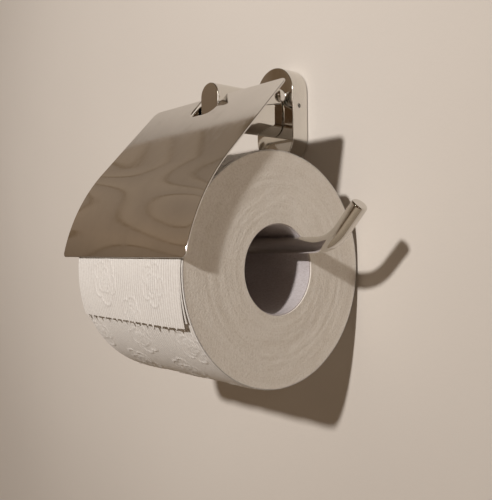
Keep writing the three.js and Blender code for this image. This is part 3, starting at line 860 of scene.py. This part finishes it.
def plaster_material():
    """Warm painted plaster; only its front shows, so the back of the holder can be seen."""
    n = Nodes("wall_paint")
    at = n.place()
    grain = n.noise(at, 420, 5, 0.6)
    cloud = n.noise(at, 3.0, 3, 0.5)
    shade = n.ramp(cloud, (0.3, (0.60, 0.552, 0.50)), (0.7, (0.635, 0.587, 0.533)))
    n.set(Base_Color=shade, Roughness=0.85, Specular_IOR_Level=0.15,
          Normal=n.bump(grain, 0.0002, 0.35))
    clear = n.node("ShaderNodeBsdfTransparent")
    facing = n.node("ShaderNodeNewGeometry").outputs["Backfacing"]
    mix = n.node("ShaderNodeMixShader", Fac=facing)
    n.put(n.shader.outputs[0], mix.inputs[1])
    n.put(clear.outputs[0], mix.inputs[2])
    n.put(mix.outputs[0], n.out.inputs["Surface"])
    return n.material


def floor_material():
    n = Nodes("floor_paint")
    at = n.place()
    cloud = n.noise(at, 2.0, 3, 0.5)
    shade = n.ramp(cloud, (0.3, (0.42, 0.36, 0.285)), (0.7, (0.46, 0.40, 0.32)))
    return n.set(Base_Color=shade, Roughness=0.8, Specular_IOR_Level=0.2,
                 Normal=n.bump(n.noise(at, 300, 4, 0.6), 0.0002, 0.3))


WALL_LEFT, WALL_RIGHT, WALL_TOP, FLOOR_Z = -0.75, 0.75, 0.305, -0.62
WALL_Y = 0.0004  # just behind the plate's back
stage_plane("backdrop_wall", [
    (WALL_LEFT, WALL_Y, FLOOR_Z), (WALL_RIGHT, WALL_Y, FLOOR_Z),
    (WALL_RIGHT, WALL_Y, WALL_TOP), (WALL_LEFT, WALL_Y, WALL_TOP)], plaster_material())
stage_plane("floor", [(-2.5, -3.5, FLOOR_Z), (2.5, -3.5, FLOOR_Z), (2.5, 2.5, FLOOR_Z),
                      (-2.5, 2.5, FLOOR_Z)], floor_material())


KEY_PLACE, KEY_COLOUR = (0.38, -1.45, 0.51), (1.0, 0.965, 0.935)
HOLDER_MIDDLE = (0.03, -0.05, -0.07)


def aimed_light(name, kind, place, target, power, colour):
    data = bpy.data.lights.new(name, kind)
    data.energy, data.color = power, colour
    lamp = bpy.data.objects.new(name, data)
    scene.collection.objects.link(lamp)
    lamp.location = place
    lamp.rotation_mode = "QUATERNION"
    lamp.rotation_quaternion = (Vector(target) - Vector(place)).to_track_quat("-Z", "Y")
    return data


key = aimed_light("key_light", "AREA", KEY_PLACE, HOLDER_MIDDLE, 18.1, KEY_COLOUR)
key.shape, key.size = "DISK", 0.09
glow = aimed_light("glow_light", "AREA", (1.15, -0.75, 0.31), HOLDER_MIDDLE, 0.3, (1.0, 0.90, 0.80))
glow.shape, glow.size = "DISK", 0.10
spill = aimed_light("spill_light", "SPOT", KEY_PLACE, (-0.14, 0, 0.07), 25, KEY_COLOUR)
spill.shadow_soft_size, spill.spot_size, spill.spot_blend = 0.045, math.radians(28), 1.0

ROOM_TONES = (  # share of the way up from straight down, and the room's colour there
    (0.40, (0.075, 0.05, 0.03)), (0.56, (0.145, 0.102, 0.067)), (0.66, (0.26, 0.185, 0.125)),
    (0.78, (0.27, 0.205, 0.15)), (0.95, (0.09, 0.066, 0.045)))
SIDE_TONES = (  # share of the way from the left to the right, and how much of the tone is left
    (0.28, (1.0, 1.0, 1.0)), (0.46, (0.45, 0.37, 0.28)), (1.0, (0.40, 0.31, 0.22)))
FOLD_LINES = 11.0  # contour lines over the whole range of the folds' noise
world = bpy.data.worlds.new("room")
scene.world = world
world.use_nodes = True
tree = world.node_tree
tree.nodes.clear()
surround = tree.nodes.new("ShaderNodeTexCoord")
split = tree.nodes.new("ShaderNodeSeparateXYZ")


def tone_ramp(tones):
    ramp = tree.nodes.new("ShaderNodeValToRGB")
    elements = ramp.color_ramp.elements
    while len(elements) < len(tones):
        elements.new(0.5)
    for element, (height, tone) in zip(elements, tones):
        element.position, element.color = height, (*tone, 1)
    return ramp


def world_math(operation, *values):
    made = tree.nodes.new("ShaderNodeMath")
    made.operation = operation
    for socket, value in zip(made.inputs[1:], values):
        socket.default_value = value
    return made


def multiply_colours():
    made = tree.nodes.new("ShaderNodeMixRGB")
    made.blend_type = "MULTIPLY"
    made.inputs["Fac"].default_value = 1.0
    return made


height_ramp, side_ramp = tone_ramp(ROOM_TONES), tone_ramp(SIDE_TONES)
# Soft folds of a curtain across the dark side of the room, which the lid mirrors.
turned_folds = tree.nodes.new("ShaderNodeMapping")
turned_folds.inputs["Scale"].default_value = (4.5, 1.0, 1.3)
folds = tree.nodes.new("ShaderNodeTexNoise")
folds.inputs["Scale"].default_value = 2.0
folds.inputs["Detail"].default_value = 0.0
steps = world_math("MULTIPLY", FOLD_LINES)
fraction = world_math("FRACT")
line = tree.nodes.new("ShaderNodeValToRGB")
stops = line.color_ramp.elements
stops[0].position, stops[0].color = 0.0, (0.64, 0.58, 0.49, 1)
stops[1].position, stops[1].color = 1.0, (0.93, 0.93, 0.94, 1)
stops.new(0.07).color = (0.68, 0.62, 0.53, 1)
stops.new(0.12).color = (1.07, 1.07, 1.06, 1)
lined, sided = multiply_colours(), multiply_colours()
room = tree.nodes.new("ShaderNodeBackground")
pale = tree.nodes.new("ShaderNodeBackground")
pale.inputs["Color"].default_value = (0.62, 0.57, 0.51, 1)
rays = tree.nodes.new("ShaderNodeLightPath")
mix = tree.nodes.new("ShaderNodeMixShader")
upward, rightward = world_math("MULTIPLY_ADD", 0.5, 0.5), world_math("MULTIPLY_ADD", 0.5, 0.5)
behind = tree.nodes.new("ShaderNodeMapRange")
for name, value in (("From Min", 0.35), ("From Max", 0.75), ("To Min", 1.0), ("To Max", 4.0)):
    behind.inputs[name].default_value = value
out = tree.nodes.new("ShaderNodeOutputWorld")
for source, socket in (
    (surround.outputs["Generated"], split.inputs[0]),
    (split.outputs["Z"], upward.inputs[0]),
    (split.outputs["X"], rightward.inputs[0]),
    (upward.outputs[0], height_ramp.inputs["Fac"]),
    (rightward.outputs[0], side_ramp.inputs["Fac"]),
    (surround.outputs["Generated"], turned_folds.inputs["Vector"]),
    (turned_folds.outputs["Vector"], folds.inputs["Vector"]),
    (folds.outputs["Fac"], steps.inputs[0]),
    (steps.outputs[0], fraction.inputs[0]),
    (fraction.outputs[0], line.inputs["Fac"]),
    (height_ramp.outputs["Color"], sided.inputs["Color1"]),
    (side_ramp.outputs["Color"], sided.inputs["Color2"]),
    (sided.outputs[0], lined.inputs["Color1"]),
    (line.outputs["Color"], lined.inputs["Color2"]),
    (lined.outputs[0], room.inputs["Color"]),
    (split.outputs["Y"], behind.inputs["Value"]),
    (behind.outputs["Result"], room.inputs["Strength"]),
    (rays.outputs["Is Camera Ray"], mix.inputs["Fac"]),
    (room.outputs[0], mix.inputs[1]),
    (pale.outputs[0], mix.inputs[2]),
    (mix.outputs[0], out.inputs["Surface"]),
):
    tree.links.new(source, socket)

scene.view_settings.view_transform = "Standard"
scene.view_settings.look = "None"
